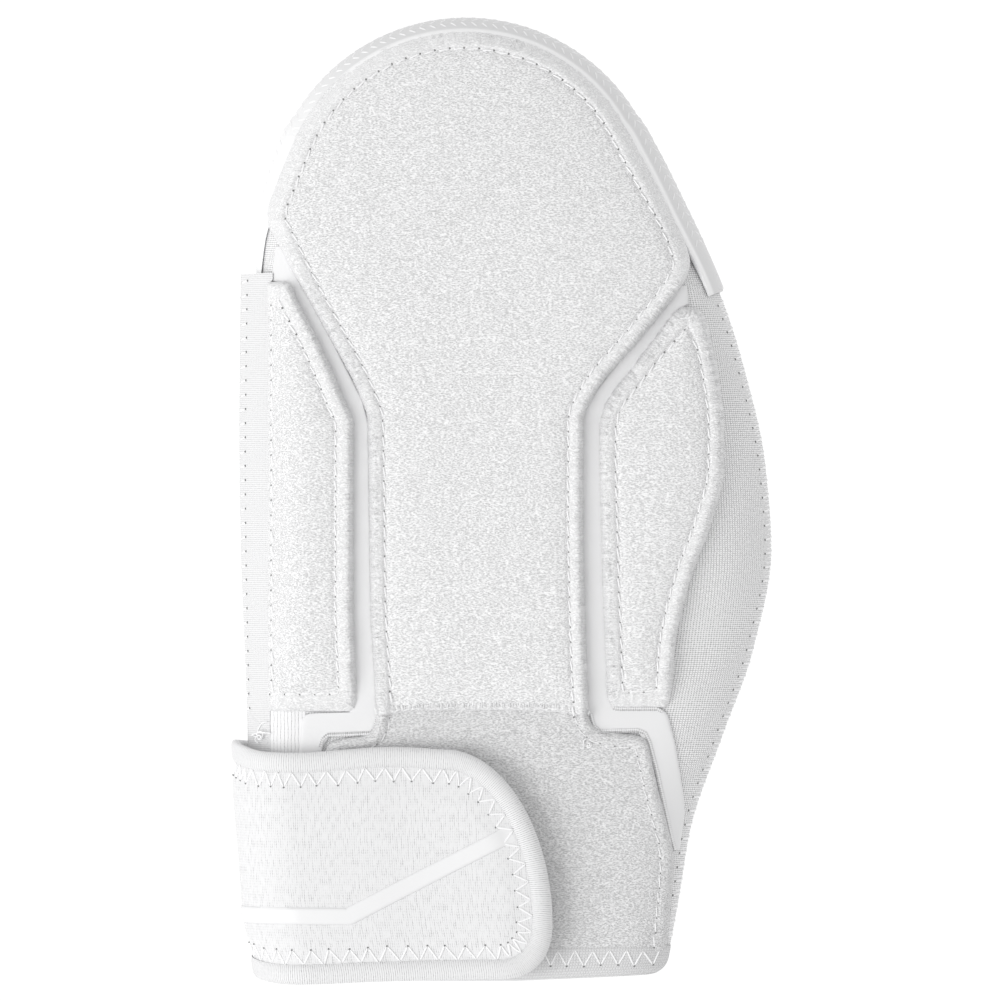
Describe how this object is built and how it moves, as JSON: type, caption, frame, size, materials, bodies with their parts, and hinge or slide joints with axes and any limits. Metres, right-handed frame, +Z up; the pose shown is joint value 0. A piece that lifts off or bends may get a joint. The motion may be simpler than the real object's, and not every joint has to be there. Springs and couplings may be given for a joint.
{
  "type": "sliding mitt",
  "caption": "Padded hand guard worn over one hand when sliding into a base: hollow knit shell, foam pads, rubber fingertip guard and a wrap-round wrist strap.",
  "frame": {"origin": "bottom centre of the bounding box, on the surface that the mitt lies on", "axes": "+Y from the wrist to the fingertips, +Z up out of the padded front, +X to the right seen from the front"},
  "size_m": [0.1517, 0.2712, 0.0406],
  "materials": {
    "knit": "matt white knit over neoprene",
    "terry": "white brushed terry over foam",
    "loop_pile": "pale grey loop pile",
    "strap_knit": "fine white jersey",
    "film": "smooth satin white film",
    "rubber": "satin white moulded rubber"
  },
  "bodies": {
    "root": {"front_panel": "knit", "back_panel": "knit", "tip_guard": "rubber", "center_pad": "terry", "left_pad": "terry", "right_pad": "terry", "left_channel_film": "film", "right_channel_film": "film", "left_edge_band": "knit", "wrist_panel": "loop_pile", "wrist_binding": "knit", "wrist_strap": "strap_knit", "strap_binding": "strap_knit", "strap_stripe": "film"}
  },
  "joints": []
}
